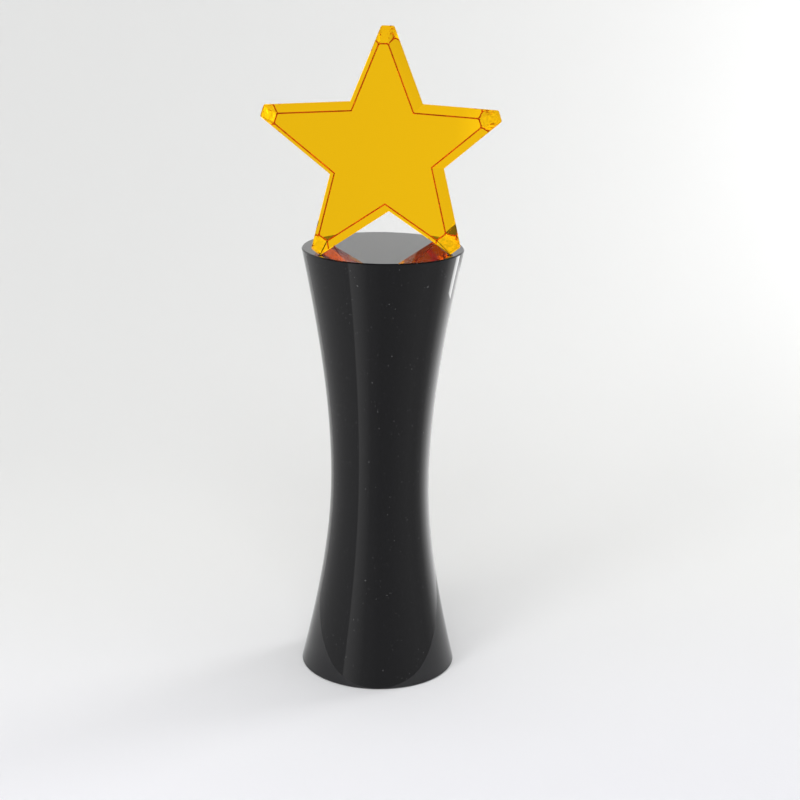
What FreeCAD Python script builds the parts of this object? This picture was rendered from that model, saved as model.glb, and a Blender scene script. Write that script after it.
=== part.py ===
import FreeCAD, Part
import math
import os

# Star trophy: a tapered five-pointed star of amber optical crystal that stands on its two lower
# arms, bonded to the flat top of a waisted column of solid black crystal.
# Millimetres. The origin is the centre of the column's underside, +Z up, the front faces -Y.

# Column: a solid of revolution, waisted a little below half height
COLUMN_HEIGHT = 200.0
COLUMN_BASE_RADIUS = 36.2
COLUMN_WAIST_RADIUS = 22.8
COLUMN_WAIST_HEIGHT = 91.5
COLUMN_TOP_RADIUS = 36.5
COLUMN_ARRIS = 0.5            # small polished chamfer round the base and round the top
PROFILE_STATIONS = 16         # points that carry the smooth waisted profile

# Star: the arms are finished by hand, so reach and direction differ a little from arm to arm.
# Arms and notches are listed clockwise as seen from the front, from the top arm and the notch
# to its right. Reach is measured from the star's centre on the large front face.
ARM_PITCH = 72.0
ARM_REACH = (61.0, 59.0, 60.0, 59.5, 63.5)        # to the sharp tip that the blunt end cuts off
ARM_END = (53.8, 52.5, 53.1, 53.5, 56.5)          # to the blunt end
ARM_TURN = (1.0, 1.0, 1.0, -0.5, 0.0)             # degrees off the regular direction
NOTCH_REACH = (26.0, 26.5, 26.0, 26.5, 26.5)
NOTCH_TURN = (2.5, -1.5, -2.5, -4.0, 0.0)

RIGHT_FOOT_ARM = 2            # the two arms that the star stands on
LEFT_FOOT_ARM = 3

STAR_THICKNESS = 32.0
SIDE_TAPER = 5.0              # degrees: the long sides lean in towards the smaller back face
END_TAPER = (10.0, 11.0, 12.5, 13.0, 12.0)        # degrees: the blunt ends lean in more
STAR_ARRIS = 0.3              # ground arris round both faces, and its depth
END_ARRIS = 0.6               # the same arris is wider across the front of each blunt end
CORNER_ARRIS = 0.25           # depth cut off the corners between the long sides and the blunt ends
FOOT_FLAT = 0.12              # depth ground off each lower arm, so that it seats flat
STAR_FRONT_Y = -17.5          # front edge of the feet, in front of the column's axis
SEAT_TOLERANCE = 0.001        # a face this close to the seat's height lies on the seat

# Bonds: clear cured adhesive under the two feet
BOND_THICKNESS = 0.2
BOND_SQUEEZE = 0.7            # width of adhesive that shows round each foot


def save(shape, node):
    shape.exportStep("parts/" + node + ".step")


def column_radius(height):
    # Two hyperbolas that share the waist, one up to the top rim and one down to the base rim
    if height >= COLUMN_WAIST_HEIGHT:
        span = COLUMN_HEIGHT - COLUMN_WAIST_HEIGHT
        end_radius = COLUMN_TOP_RADIUS
    else:
        span = COLUMN_WAIST_HEIGHT
        end_radius = COLUMN_BASE_RADIUS
    share = (height - COLUMN_WAIST_HEIGHT) / span
    grow = end_radius ** 2 - COLUMN_WAIST_RADIUS ** 2
    return math.sqrt(COLUMN_WAIST_RADIUS ** 2 + grow * share ** 2)


def make_column():
    low = COLUMN_ARRIS
    high = COLUMN_HEIGHT - COLUMN_ARRIS
    points = []
    for station in range(PROFILE_STATIONS + 1):
        height = low + (high - low) * station / PROFILE_STATIONS
        points.append(FreeCAD.Vector(column_radius(height), 0, height))
    side = Part.BSplineCurve()
    side.interpolate(points)

    base_edge = FreeCAD.Vector(points[0].x - COLUMN_ARRIS, 0, 0)
    top_edge = FreeCAD.Vector(points[-1].x - COLUMN_ARRIS, 0, COLUMN_HEIGHT)
    base_centre = FreeCAD.Vector(0, 0, 0)
    top_centre = FreeCAD.Vector(0, 0, COLUMN_HEIGHT)
    edges = [
        Part.LineSegment(base_centre, base_edge).toShape(),
        Part.LineSegment(base_edge, points[0]).toShape(),
        side.toShape(),
        Part.LineSegment(points[-1], top_edge).toShape(),
        Part.LineSegment(top_edge, top_centre).toShape(),
        Part.LineSegment(top_centre, base_centre).toShape(),
    ]
    half_section = Part.Face(Part.Wire(edges))
    axis = FreeCAD.Vector(0, 0, 1)
    return half_section.revolve(base_centre, axis, 360)


def polar(reach, degrees):
    # A place on the star's face, clockwise from straight up: x to the right, y up the face
    angle = math.radians(degrees)
    return (reach * math.sin(angle), reach * math.cos(angle))


def side_line(start, end, inset):
    # A line through two places, moved towards the star's centre by the inset
    along = (end[0] - start[0], end[1] - start[1])
    length = math.hypot(along[0], along[1])
    normal = (-along[1] / length, along[0] / length)
    reach = start[0] * normal[0] + start[1] * normal[1]
    return (normal, reach - inset)


def end_line(arm, inset):
    # The blunt end of an arm, square to the arm and moved inwards by the inset
    normal = polar(1.0, ARM_PITCH * arm + ARM_TURN[arm])
    return (normal, ARM_END[arm] - inset)


def meet(line_a, line_b):
    (ax, ay), reach_a = line_a
    (bx, by), reach_b = line_b
    scale = ax * by - ay * bx
    x = (reach_a * by - reach_b * ay) / scale
    y = (ax * reach_b - bx * reach_a) / scale
    return (x, y)


def corner_line(line_a, line_b):
    # The arris that cuts off the corner where two lines meet
    (ax, ay), (bx, by) = line_a[0], line_b[0]
    length = math.hypot(ax + bx, ay + by)
    normal = ((ax + bx) / length, (ay + by) / length)
    x, y = meet(line_a, line_b)
    return (normal, x * normal[0] + y * normal[1] - CORNER_ARRIS)


def star_outline(depth, side_arris=0.0, end_arris=0.0):
    # The outline at a depth behind the front face, pulled in by the arris on the sides and ends.
    # The corners run clockwise. The two corners that stand on the column stay sharp.
    side_inset = depth * math.tan(math.radians(SIDE_TAPER)) + side_arris
    lines = []
    for arm in range(5):
        end_inset = depth * math.tan(math.radians(END_TAPER[arm])) + end_arris
        tip = polar(ARM_REACH[arm], ARM_PITCH * arm + ARM_TURN[arm])
        before = polar(NOTCH_REACH[arm - 1], ARM_PITCH * (arm - 0.5) + NOTCH_TURN[arm - 1])
        after = polar(NOTCH_REACH[arm], ARM_PITCH * (arm + 0.5) + NOTCH_TURN[arm])
        side_in = side_line(before, tip, side_inset)
        end = end_line(arm, end_inset)
        side_out = side_line(tip, after, side_inset)
        lines.append(side_in)
        if arm != LEFT_FOOT_ARM:
            lines.append(corner_line(side_in, end))
        lines.append(end)
        if arm != RIGHT_FOOT_ARM:
            lines.append(corner_line(end, side_out))
        lines.append(side_out)
    return [meet(lines[i - 1], lines[i]) for i in range(len(lines))]


def foot_corner(outline):
    # The lowest place of the right and of the left lower arm
    right = min((place for place in outline if place[0] > 0), key=lambda place: place[1])
    left = min((place for place in outline if place[0] < 0), key=lambda place: place[1])
    return right, left


def star_lean():
    # Standing on the lower corners of its lower arms, the tapered star leans back
    front = foot_corner(star_outline(0))
    back = foot_corner(star_outline(STAR_THICKNESS))
    rise = sum(back[i][1] - front[i][1] for i in range(2)) / 2
    return math.degrees(math.atan2(rise, STAR_THICKNESS))


def layer(depth, side_arris=0.0, end_arris=0.0):
    outline = star_outline(depth, side_arris, end_arris)
    return [FreeCAD.Vector(x, depth, z) for x, z in outline]


def make_star():
    # Four outlines from front to back carry the front arris, the tapered sides and the back
    # arris. Every loop of corners runs anticlockwise as seen from outside.
    layers = [
        layer(0, STAR_ARRIS, END_ARRIS),
        layer(STAR_ARRIS),
        layer(STAR_THICKNESS - STAR_ARRIS),
        layer(STAR_THICKNESS, STAR_ARRIS, STAR_ARRIS),
    ]
    loops = [layers[0][::-1], layers[-1]]
    for near, far in zip(layers, layers[1:]):
        for i in range(len(near)):
            loops.append([near[i - 1], near[i], far[i], far[i - 1]])
    star = Part.Solid(Part.Shell([Part.Face(Part.makePolygon(loop + loop[:1])) for loop in loops]))

    # Lean the star back, then stand the front of its feet on the bonds at the column's top
    lean = star_lean()
    star.rotate(FreeCAD.Vector(0, 0, 0), FreeCAD.Vector(1, 0, 0), -lean)
    low = sum(place[1] for place in foot_corner(star_outline(0))) / 2
    foot_y = low * math.sin(math.radians(lean))
    foot_z = low * math.cos(math.radians(lean))
    seat = COLUMN_HEIGHT + BOND_THICKNESS
    star.translate(FreeCAD.Vector(0, STAR_FRONT_Y - foot_y, seat - FOOT_FLAT - foot_z))

    # Grind the feet flat
    reach = 2 * COLUMN_TOP_RADIUS
    waste = Part.makeBox(2 * reach, 2 * reach, reach, FreeCAD.Vector(-reach, -reach, seat - reach))
    return star.cut(waste).Solids[0]


def make_bonds(star):
    # Each foot's ground flat, spread by the squeeze and as thick as the adhesive
    seat = COLUMN_HEIGHT + BOND_THICKNESS
    bonds = {}
    for face in star.Faces:
        if face.BoundBox.ZMax > seat + SEAT_TOLERANCE:
            continue
        name = "foot_bond_right" if face.CenterOfMass.x > 0 else "foot_bond_left"
        pad = face.makeOffset2D(BOND_SQUEEZE)
        bonds[name] = pad.extrude(FreeCAD.Vector(0, 0, -BOND_THICKNESS))
    return bonds


os.makedirs("parts", exist_ok=True)
save(make_column(), "column")
crystal_star = make_star()
save(crystal_star, "crystal_star")
for bond_name, bond in make_bonds(crystal_star).items():
    save(bond, bond_name)

print("lean %.2f degrees, top %.1f mm" % (star_lean(), crystal_star.BoundBox.ZMax))
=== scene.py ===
import math

import bpy
from mathutils import Matrix, Vector

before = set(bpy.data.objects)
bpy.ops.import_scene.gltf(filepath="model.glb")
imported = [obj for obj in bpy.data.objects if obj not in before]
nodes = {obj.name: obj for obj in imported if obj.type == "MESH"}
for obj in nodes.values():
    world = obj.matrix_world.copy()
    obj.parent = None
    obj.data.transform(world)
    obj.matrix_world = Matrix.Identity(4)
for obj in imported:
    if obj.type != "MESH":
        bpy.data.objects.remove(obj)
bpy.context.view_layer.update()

# Star trophy: a leaning star of clear amber crystal on a waisted column of solid black crystal.
# The CAD nodes are shown as they are. This script gives them their materials, and adds the
# camera, a sweep of pale paper and soft studio light. Metres, +Z up, and the front faces -Y.

# ------------------------------------------------------------------ camera
CAMERA_PLACE = Vector((-0.0647, -0.7324, 0.3481))
CAMERA_YAW = math.radians(5.73)      # from +Y towards +X
CAMERA_PITCH = math.radians(16.61)   # downwards
CAMERA_ROLL = math.radians(0.96)
CAMERA_LENS = 75.1                   # millimetres
SENSOR_WIDTH = 36.0                  # millimetres


def make_camera():
    data = bpy.data.cameras.new("camera")
    data.lens = CAMERA_LENS
    data.sensor_width = SENSOR_WIDTH
    camera = bpy.data.objects.new("camera", data)
    bpy.context.scene.collection.objects.link(camera)
    forward = Vector((
        math.sin(CAMERA_YAW) * math.cos(CAMERA_PITCH),
        math.cos(CAMERA_YAW) * math.cos(CAMERA_PITCH),
        -math.sin(CAMERA_PITCH),
    ))
    right = Vector((math.cos(CAMERA_YAW), -math.sin(CAMERA_YAW), 0.0))
    up = right.cross(forward)
    rolled_right = right * math.cos(CAMERA_ROLL) + up * math.sin(CAMERA_ROLL)
    rolled_up = up * math.cos(CAMERA_ROLL) - right * math.sin(CAMERA_ROLL)
    turn = Matrix((rolled_right, rolled_up, -forward)).transposed()
    camera.matrix_world = Matrix.Translation(CAMERA_PLACE) @ turn.to_4x4()
    bpy.context.scene.camera = camera


# ------------------------------------------------------------------ shader nodes
def new_material(name):
    material = bpy.data.materials.new(name)
    material.use_nodes = True
    tree = material.node_tree
    tree.nodes.clear()
    output = tree.nodes.new("ShaderNodeOutputMaterial")
    return material, tree, output


def new_shader(tree, output):
    shader = tree.nodes.new("ShaderNodeBsdfPrincipled")
    tree.links.new(shader.outputs["BSDF"], output.inputs["Surface"])
    return shader


def feed(tree, value, socket):
    # Link another node's output to the socket, or set the socket to a plain value
    if isinstance(value, bpy.types.NodeSocket):
        tree.links.new(value, socket)
    else:
        socket.default_value = value


def object_place(tree):
    return tree.nodes.new("ShaderNodeTexCoord").outputs["Object"]


def maths(tree, operation, *values):
    node = tree.nodes.new("ShaderNodeMath")
    node.operation = operation
    for value, socket in zip(values, node.inputs):
        feed(tree, value, socket)
    return node.outputs["Value"]


def vector_maths(tree, operation, first, second):
    node = tree.nodes.new("ShaderNodeVectorMath")
    node.operation = operation
    feed(tree, first, node.inputs[0])
    feed(tree, second, node.inputs[1])
    return node.outputs["Value" if operation == "DOT_PRODUCT" else "Vector"]


def band(tree, value, limits):
    # 1 where the value lies between the two limits, 0 elsewhere
    middle = (limits[0] + limits[1]) / 2.0
    reach = (limits[1] - limits[0]) / 2.0
    return maths(tree, "COMPARE", value, middle, reach)


def map_range(tree, value, low, high, start=0.0, end=1.0):
    # From low, where the value is at the start, to high, where it is at the end
    node = tree.nodes.new("ShaderNodeMapRange")
    node.inputs["From Min"].default_value = start
    node.inputs["From Max"].default_value = end
    node.inputs["To Min"].default_value = low
    node.inputs["To Max"].default_value = high
    tree.links.new(value, node.inputs["Value"])
    return node.outputs["Result"]


def mix(tree, kind, factor, first, second):
    # The first where the factor is 0, the second where it is 1. The kind is FLOAT or RGBA.
    node = tree.nodes.new("ShaderNodeMix")
    node.data_type = kind
    feed(tree, factor, node.inputs["Factor"])
    feed(tree, first, node.inputs["A"])
    feed(tree, second, node.inputs["B"])
    return node.outputs["Result"]


def noise(tree, place, scale, detail=2.0):
    node = tree.nodes.new("ShaderNodeTexNoise")
    node.inputs["Scale"].default_value = scale
    node.inputs["Detail"].default_value = detail
    tree.links.new(place, node.inputs["Vector"])
    return node.outputs["Fac"]


def noise_range(tree, scale, limits=(0.0, 1.0)):
    # Noise in object space, spread from the lower limit to the upper
    return map_range(tree, noise(tree, object_place(tree), scale, detail=3.0), *limits)


def bump(tree, height, strength, distance):
    node = tree.nodes.new("ShaderNodeBump")
    node.inputs["Distance"].default_value = distance
    feed(tree, strength, node.inputs["Strength"])
    feed(tree, height, node.inputs["Height"])
    return node.outputs["Normal"]


# ------------------------------------------------------------------ materials
# A grain is a noise scale, per metre. A depth is how far a bump stands, in metres.
WHITE = (1.0, 1.0, 1.0, 1.0)

AMBER_IOR = 1.52
AMBER_COLOUR = (0.9985, 0.908, 0.05, 1.0)    # with the density, what the glass lets through
AMBER_DENSITY = 190.0                        # per metre
AMBER_GRAIN = 60.0
AMBER_ROUGHNESS = (0.0, 0.006)
ARRIS_SLANT = (-0.97, -0.32)                 # outward normal of a back arris, along the front's
ARRIS_GRAIN = 900.0
ARRIS_ROUGHNESS = (0.15, 0.45)
ARRIS_CLEARNESS = 0.15                       # the rest scatters light, as ground glass does
# Painted light and shade on the back arrises: dark red and bright orange stretches stand in for
# the light the amber glass shows along them
ARRIS_PAINTED_SHADE = (0.70, 0.01, 0.005, 1.0)
ARRIS_PAINTED_LIGHT = (1.0, 0.24, 0.03, 1.0)
PAINTED_PATCH_GRAIN = 260.0                          # of the dark and bright stretches of an arris
PAINTED_PATCH_SPREAD = (-1.6, 2.8)                   # wider than 0 to 1, so that they meet sharply
END_SLANT = (0.13, 0.27)                     # normal of a blunt arm end, along the front's
END_GRAIN = 520.0
END_WAVE = 0.45
END_DEPTH = 0.001

BLACK_IOR = 1.48
BLACK_COLOUR = (0.0055, 0.0055, 0.0065, 1.0)
BLACK_GRAIN = 35.0
BLACK_ROUGHNESS = (0.010, 0.035)
DUST_COLOUR = (0.10, 0.10, 0.10, 1.0)
DUST_GRAIN = 900.0
DUST_START = 0.71                            # share of the noise range; higher is less dust
DUST_FADE = 0.03
POLISH_GRAIN = 40.0
POLISH_WAVE = 0.02
POLISH_DEPTH = 0.001

ADHESIVE_IOR = 1.5
ADHESIVE_COLOUR = (0.95, 0.95, 0.93, 1.0)
ADHESIVE_GRAIN = 500.0
ADHESIVE_ROUGHNESS = (0.02, 0.12)
RIPPLE_GRAIN = 700.0
RIPPLE_WAVE = 0.2
RIPPLE_DEPTH = 0.0002


def front_normal(node):
    # The normal of the largest flat of a CAD node that faces -Y
    polygons = nodes[node].data.polygons
    return max(polygons, key=lambda polygon: -polygon.area * polygon.normal.y).normal.copy()


def star_faces(tree, front):
    # Two masks: the ground arrises round the back face, and the blunt ends of the arms
    geometry = tree.nodes.new("ShaderNodeNewGeometry")
    slant = vector_maths(tree, "DOT_PRODUCT", geometry.outputs["True Normal"], front)
    # A face met from inside the glass gives its normal turned round, so turn that back
    side = map_range(tree, geometry.outputs["Backfacing"], 1.0, -1.0)
    outward = maths(tree, "MULTIPLY", slant, side)
    arrises = band(tree, outward, ARRIS_SLANT)
    ends = band(tree, maths(tree, "ABSOLUTE", slant), END_SLANT)
    return arrises, ends


def end_marks(tree, front, ends):
    # The arm ends are ground by hand, and the marks run through the star's thickness
    place = object_place(tree)
    depth = vector_maths(tree, "PROJECT", place, front)
    flat = vector_maths(tree, "SUBTRACT", place, depth)
    strength = maths(tree, "MULTIPLY", ends, END_WAVE)
    return bump(tree, noise(tree, flat, END_GRAIN), strength, END_DEPTH)


def amber_material():
    # Clear amber glass with polished flats, ground back arrises and hand-ground ends. The back
    # arrises carry painted light and shade, in dark red and bright orange stretches.
    material, tree, output = new_material("amber_crystal")
    shader = new_shader(tree, output)
    shader.inputs["IOR"].default_value = AMBER_IOR
    front = front_normal("crystal_star")
    arrises, ends = star_faces(tree, front)

    polished = noise_range(tree, AMBER_GRAIN, AMBER_ROUGHNESS)
    ground = noise_range(tree, ARRIS_GRAIN, ARRIS_ROUGHNESS)
    feed(tree, mix(tree, "FLOAT", arrises, polished, ground), shader.inputs["Roughness"])
    clearness = map_range(tree, arrises, 1.0, ARRIS_CLEARNESS)
    feed(tree, clearness, shader.inputs["Transmission Weight"])
    # Painted light and shade along the back arrises, in dark red and bright orange stretches
    painted_patches = noise_range(tree, PAINTED_PATCH_GRAIN, PAINTED_PATCH_SPREAD)
    painted_tint = mix(tree, "RGBA", painted_patches, ARRIS_PAINTED_SHADE, ARRIS_PAINTED_LIGHT)
    feed(tree, mix(tree, "RGBA", arrises, WHITE, painted_tint), shader.inputs["Base Color"])
    feed(tree, end_marks(tree, front, ends), shader.inputs["Normal"])

    volume = tree.nodes.new("ShaderNodeVolumeAbsorption")
    volume.inputs["Color"].default_value = AMBER_COLOUR
    volume.inputs["Density"].default_value = AMBER_DENSITY
    tree.links.new(volume.outputs["Volume"], output.inputs["Volume"])
    return material


def black_material():
    # Solid black glass: faint smears in the polish, and a little dust
    material, tree, output = new_material("black_crystal")
    shader = new_shader(tree, output)
    shader.inputs["IOR"].default_value = BLACK_IOR
    smears = noise_range(tree, BLACK_GRAIN, BLACK_ROUGHNESS)
    feed(tree, smears, shader.inputs["Roughness"])
    specks = noise_range(tree, DUST_GRAIN)
    dust = map_range(tree, specks, 0.0, 1.0, DUST_START, DUST_START + DUST_FADE)
    feed(tree, mix(tree, "RGBA", dust, BLACK_COLOUR, DUST_COLOUR), shader.inputs["Base Color"])
    polish = bump(tree, noise_range(tree, POLISH_GRAIN), POLISH_WAVE, POLISH_DEPTH)
    feed(tree, polish, shader.inputs["Normal"])
    return material


def clear_material():
    # Clear cured adhesive, a little uneven where it was squeezed out
    material, tree, output = new_material("clear_adhesive")
    shader = new_shader(tree, output)
    shader.inputs["Base Color"].default_value = ADHESIVE_COLOUR
    shader.inputs["Transmission Weight"].default_value = 1.0
    shader.inputs["IOR"].default_value = ADHESIVE_IOR
    smears = noise_range(tree, ADHESIVE_GRAIN, ADHESIVE_ROUGHNESS)
    feed(tree, smears, shader.inputs["Roughness"])
    ripple = bump(tree, noise_range(tree, RIPPLE_GRAIN), RIPPLE_WAVE, RIPPLE_DEPTH)
    feed(tree, ripple, shader.inputs["Normal"])
    return material


def dress(node, material):
    mesh = nodes[node].data
    for index in range(len(mesh.materials)):
        mesh.materials[index] = material


def dress_trophy():
    adhesive = clear_material()
    dress("column", black_material())
    dress("crystal_star", amber_material())
    dress("foot_bond_left", adhesive)
    dress("foot_bond_right", adhesive)


# ------------------------------------------------------------------ paper sweep
SWEEP_HALF = 3.0              # half its width
SWEEP_FRONT = -3.0
SWEEP_BEND = 0.30             # where the floor starts to curve up
SWEEP_RADIUS = 0.60
SWEEP_STEPS = 24              # flats round the curve
SWEEP_TOP = 2.4

PAPER_START = -0.50           # the tones change between these two places along Y
PAPER_END = 0.40
# Painted light on one paper: painted shade darkens it in front, and the floor has a painted
# cool cast that the neutral back lacks
PAPER_SHADE_TONES = (
    (-0.50, (0.76, 0.76, 0.78)),
    (-0.20, (0.81, 0.81, 0.845)),
    (0.15, (0.80, 0.803, 0.797)),
)
PAPER_ROUGHNESS = 0.9
PAPER_SPECULAR = 0.1
FIBRE_GRAIN = 700.0
FIBRE_WAVE = 0.1
FIBRE_DEPTH = 0.0005


def paper_material():
    # Pale matt paper with painted light: a painted cool cast on the floor, painted shade that
    # makes it a little darker in front, and neutral behind
    material, tree, output = new_material("paper")
    shader = new_shader(tree, output)
    shader.inputs["Roughness"].default_value = PAPER_ROUGHNESS
    shader.inputs["Specular IOR Level"].default_value = PAPER_SPECULAR
    place = object_place(tree)
    split = tree.nodes.new("ShaderNodeSeparateXYZ")
    tree.links.new(place, split.inputs["Vector"])
    share = map_range(tree, split.outputs["Y"], 0.0, 1.0, PAPER_START, PAPER_END)
    ramp = tree.nodes.new("ShaderNodeValToRGB")
    ramp.color_ramp.interpolation = "EASE"
    stops = ramp.color_ramp.elements
    while len(stops) < len(PAPER_SHADE_TONES):
        stops.new(0.5)
    for stop, (where, tone) in zip(stops, PAPER_SHADE_TONES):
        stop.position = (where - PAPER_START) / (PAPER_END - PAPER_START)
        stop.color = (*tone, 1.0)
    tree.links.new(share, ramp.inputs["Fac"])
    tree.links.new(ramp.outputs["Color"], shader.inputs["Base Color"])
    fibres = bump(tree, noise(tree, place, FIBRE_GRAIN), FIBRE_WAVE, FIBRE_DEPTH)
    feed(tree, fibres, shader.inputs["Normal"])
    return material


def make_sweep():
    # A flat floor, a curve behind the object and an upright back, in one sheet
    profile = [(SWEEP_FRONT, 0.0), (SWEEP_BEND, 0.0)]
    for step in range(1, SWEEP_STEPS + 1):
        angle = math.radians(90 * step / SWEEP_STEPS)
        y = SWEEP_BEND + SWEEP_RADIUS * math.sin(angle)
        z = SWEEP_RADIUS - SWEEP_RADIUS * math.cos(angle)
        profile.append((y, z))
    profile.append((SWEEP_BEND + SWEEP_RADIUS, SWEEP_TOP))
    vertices = []
    for y, z in profile:
        vertices.append((-SWEEP_HALF, y, z))
        vertices.append((SWEEP_HALF, y, z))
    faces = [(2 * i, 2 * i + 1, 2 * i + 3, 2 * i + 2) for i in range(len(profile) - 1)]
    mesh = bpy.data.meshes.new("sweep")
    mesh.from_pydata(vertices, [], faces)
    for polygon in mesh.polygons:
        polygon.use_smooth = True
    mesh.materials.append(paper_material())
    sweep = bpy.data.objects.new("sweep", mesh)
    bpy.context.scene.collection.objects.link(sweep)


# ------------------------------------------------------------------ light
# Each soft box: its name, place, what it points at, width, height and watts
FOOT = (0.0, 0.0, 0.05)
SOFT_BOXES = (
    ("top_box", (0.0, -0.20, 1.5), (0.05, 0.10, 0.0), 1.6, 1.2, 8.5),
    ("front_box", (-0.2, -1.5, 1.6), (0.0, 0.9, 0.4), 1.2, 0.8, 14.9),
    ("right_box", (0.80, 0.40, 0.18), (0.70, 1.0, 0.10), 0.3, 0.5, 1.0),
    ("right_low", (0.86, 0.44, 0.55), FOOT, 0.35, 0.35, 3.4),
    ("left_low", (-0.60, -0.65, 0.58), FOOT, 0.35, 0.35, 3.1),
    ("side_box", (-0.90, 0.10, 0.60), (-0.90, 0.90, 0.30), 0.5, 0.5, 0.8),
)

# Three more soft boxes point straight down and light the floor in front and at the sides
ROOM_PLACES = ((0.0, -2.2), (-2.2, -0.6), (2.2, -0.6))
ROOM_HEIGHT = 1.2
ROOM_SIZE = (2.0, 1.6)
ROOM_WATTS = 7.0

# Reflector cards stand upright round the column's axis. Each glow is a bearing, in degrees from
# -Y towards +X, and the brightness there.
RING_GLOWS = (
    (-135, 0.60), (-52, 0.50), (-50, 1.00), (-25, 0.42), (-5, 0.32), (15, 0.34), (40, 0.42),
    (56, 0.46), (75, 0.40), (91, 0.50), (107, 1.10), (122, 1.60), (131, 1.50), (150, 1.30),
)
RING_DISTANCE = 0.130
RING_HEIGHTS = (0.0, 0.16)
STREAK_GLOWS = ((113, 3.50), (125, 4.50))
STREAK_DISTANCE = 0.125
STREAK_HEIGHTS = (0.140, 0.17)
GLASS_GLOWS = (
    (55, 0.30), (75, 0.90), (100, 1.20), (116, 2.40), (142, 2.40), (151, 1.45), (164, 0.92),
    (180, 0.89), (197, 0.88), (206, 0.72), (213, 1.15), (219, 0.72), (226, 1.15), (240, 0.85),
    (270, 0.85),
)
GLASS_DISTANCE = 0.20
GLASS_HEIGHTS = (0.0, 1.0)
CARD_STEPS = 8                # flats from one glow to the next

WORLD_GLOW = 0.08             # what the object reflects and is lit by
WORLD_GLOW_SEEN = 0.72        # what the camera sees past the paper


def area_light(name, place, target, width, height, watts):
    data = bpy.data.lights.new(name, "AREA")
    data.shape = "RECTANGLE"
    data.size = width
    data.size_y = height
    data.energy = watts
    light = bpy.data.objects.new(name, data)
    light.location = place
    aim = Vector(target) - Vector(place)
    light.rotation_euler = aim.to_track_quat("-Z", "Y").to_euler()
    light.visible_camera = False
    light.visible_glossy = False
    bpy.context.scene.collection.objects.link(light)


def card_mesh(name, glows, distance, heights):
    # A curved card whose brightness blends evenly from one glow to the next
    vertices = []
    faces = []
    brightness = []
    for here, there in zip(glows, glows[1:]):
        for step in range(CARD_STEPS + 1):
            share = step / CARD_STEPS
            bearing = math.radians(here[0] + (there[0] - here[0]) * share)
            across = distance * math.sin(bearing)
            away = -distance * math.cos(bearing)
            last = len(vertices)
            for height in heights:
                vertices.append((across, away, height))
                brightness.append(here[1] + (there[1] - here[1]) * share)
            if step:
                faces.append((last - 2, last, last + 1, last - 1))
    mesh = bpy.data.meshes.new(name)
    mesh.from_pydata(vertices, [], faces)
    glow = mesh.attributes.new("glow", "FLOAT", "POINT")
    glow.data.foreach_set("value", brightness)
    return mesh


def card_material(name):
    material, tree, output = new_material(name)
    emission = tree.nodes.new("ShaderNodeEmission")
    strength = tree.nodes.new("ShaderNodeAttribute")
    strength.attribute_name = "glow"
    tree.links.new(strength.outputs["Fac"], emission.inputs["Strength"])
    tree.links.new(emission.outputs["Emission"], output.inputs["Surface"])
    return material


def reflector(name, glows, distance, heights, through_glass=False):
    # A card seen only in mirror reflections, or else only through clear glass
    mesh = card_mesh(name, glows, distance, heights)
    mesh.materials.append(card_material(name))
    card = bpy.data.objects.new(name, mesh)
    card.visible_camera = False
    card.visible_diffuse = False
    card.visible_glossy = not through_glass
    card.visible_transmission = through_glass
    card.visible_shadow = False
    bpy.context.scene.collection.objects.link(card)


def make_world():
    # A dim room for the object to reflect, behind a pale one that only the camera sees
    world = bpy.data.worlds.new("world")
    world.use_nodes = True
    tree = world.node_tree
    background = tree.nodes["Background"]
    background.inputs["Color"].default_value = WHITE
    camera_ray = tree.nodes.new("ShaderNodeLightPath").outputs["Is Camera Ray"]
    level = map_range(tree, camera_ray, WORLD_GLOW, WORLD_GLOW_SEEN)
    tree.links.new(level, background.inputs["Strength"])
    bpy.context.scene.world = world


def make_lights():
    for soft_box in SOFT_BOXES:
        area_light(*soft_box)
    reflector("ring_card", RING_GLOWS, RING_DISTANCE, RING_HEIGHTS)
    reflector("streak_card", STREAK_GLOWS, STREAK_DISTANCE, STREAK_HEIGHTS)
    reflector("glass_card", GLASS_GLOWS, GLASS_DISTANCE, GLASS_HEIGHTS, through_glass=True)
    for x, y in ROOM_PLACES:
        area_light("room_box", (x, y, ROOM_HEIGHT), (x, y, 0.0), *ROOM_SIZE, ROOM_WATTS)
    make_world()


# ------------------------------------------------------------------ the scene
GLASS_BOUNCES = 24            # enough for light to cross the star's many faces
GLOSSY_BOUNCES = 12
INDIRECT_LIMIT = 6.0


def set_looks():
    scene = bpy.context.scene
    scene.view_settings.view_transform = "Standard"
    scene.view_settings.look = "None"
    scene.cycles.max_bounces = GLASS_BOUNCES
    scene.cycles.transmission_bounces = GLASS_BOUNCES
    scene.cycles.glossy_bounces = GLOSSY_BOUNCES
    scene.cycles.sample_clamp_indirect = INDIRECT_LIMIT


make_camera()
dress_trophy()
make_sweep()
make_lights()
set_looks()
